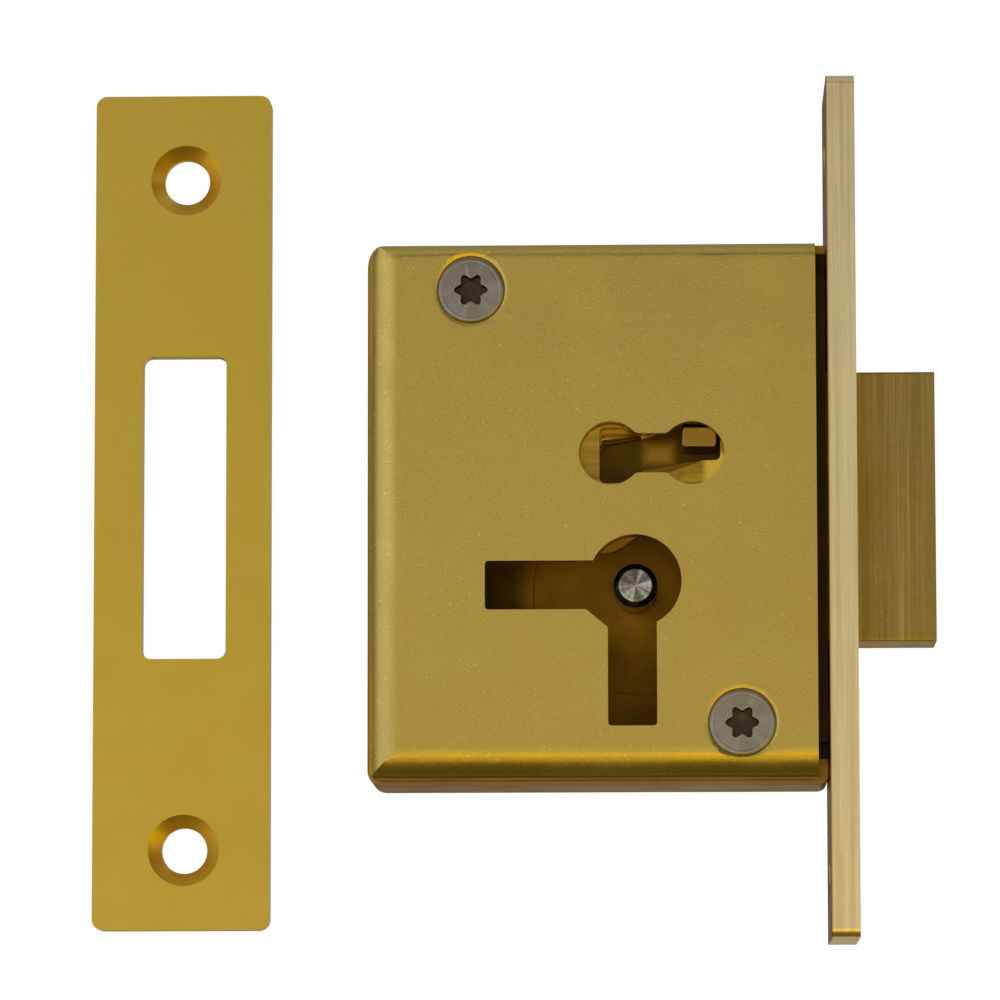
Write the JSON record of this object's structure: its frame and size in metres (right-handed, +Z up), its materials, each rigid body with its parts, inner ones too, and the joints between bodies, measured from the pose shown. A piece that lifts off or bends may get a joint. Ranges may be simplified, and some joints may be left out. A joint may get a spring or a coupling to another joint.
{
  "type": "mortise lock",
  "caption": "Small lever mortise lock with a plain forend, a pressed case with an L-shaped keyhole and viewing hole, a square deadbolt and a flat strike plate.",
  "frame": {"origin": "centre of the forend's outer face, at the door's edge", "axes": "+X the way the bolt is thrown, out of the door's edge; +Z up along the forend; -Y the side of the cover and keyhole"},
  "size_m": [0.0753, 0.016, 0.077],
  "materials": {
    "plate_brass": "satin, finely brushed",
    "cover_brass": "satin with fine flecks and scratches",
    "case_brass": "matte",
    "bolt_brass": "machined, dull",
    "lever_brass": "bright pressed",
    "steel": "turned, nickel grey",
    "spring_bronze": "rolled strip"
  },
  "bodies": {
    "case": {"forend": "plate_brass", "forend_rivet_top": "plate_brass", "forend_rivet_bottom": "plate_brass", "case_body": "case_brass", "case_cover": "cover_brass", "cover_screw_top": "steel", "cover_screw_bottom": "steel", "screw_pillar_top": "case_brass", "screw_pillar_bottom": "case_brass", "key_pin": "steel", "lever_post": "steel", "lever_spacer": "case_brass", "bolt_guide_pin": "steel", "lever_spring_1": "spring_bronze", "lever_spring_2": "spring_bronze", "lever_spring_3": "spring_bronze", "lever_spring_4": "spring_bronze"},
    "bolt": {"bolt": "bolt_brass", "bolt_stump": "bolt_brass"},
    "lever_one": {"lever_1": "lever_brass"},
    "lever_two": {"lever_2": "lever_brass"},
    "lever_three": {"lever_3": "lever_brass"},
    "lever_four": {"lever_4": "lever_brass"},
    "strike": {"strike_plate": "plate_brass"}
  },
  "joints": [
    {"name": "bolt_throw", "type": "slide", "parent": "case", "child": "bolt", "axis": [1, 0, 0], "range_m": [-0.007, 0]},
    {"name": "lever_lift_1", "type": "hinge", "parent": "case", "child": "lever_one", "pos_m": [-0.038, 0, 0.003], "axis": [0, -1, 0], "range_deg": [0, 5.2], "deforming": ["lever_spring_1"]},
    {"name": "lever_lift_2", "type": "hinge", "parent": "case", "child": "lever_two", "pos_m": [-0.038, 0, 0.003], "axis": [0, -1, 0], "range_deg": [0, 4.4], "deforming": ["lever_spring_2"]},
    {"name": "lever_lift_3", "type": "hinge", "parent": "case", "child": "lever_three", "pos_m": [-0.038, 0, 0.003], "axis": [0, -1, 0], "range_deg": [0, 7.2], "deforming": ["lever_spring_3"]},
    {"name": "lever_lift_4", "type": "hinge", "parent": "case", "child": "lever_four", "pos_m": [-0.038, 0, 0.003], "axis": [0, -1, 0], "range_deg": [0, 8.4], "deforming": ["lever_spring_4"]},
    {"name": "strike_plate_place", "type": "slide", "parent": "case", "child": "strike", "axis": [-1, 0, 0], "range_m": [0, 0.03]}
  ],
  "couplings": [
    {"joint": "lever_lift_1", "follows": "bolt_throw", "rad_per_m": -12.466},
    {"joint": "lever_lift_2", "follows": "bolt_throw", "rad_per_m": -10.472},
    {"joint": "lever_lift_3", "follows": "bolt_throw", "rad_per_m": -17.453},
    {"joint": "lever_lift_4", "follows": "bolt_throw", "rad_per_m": -20.445}
  ]
}
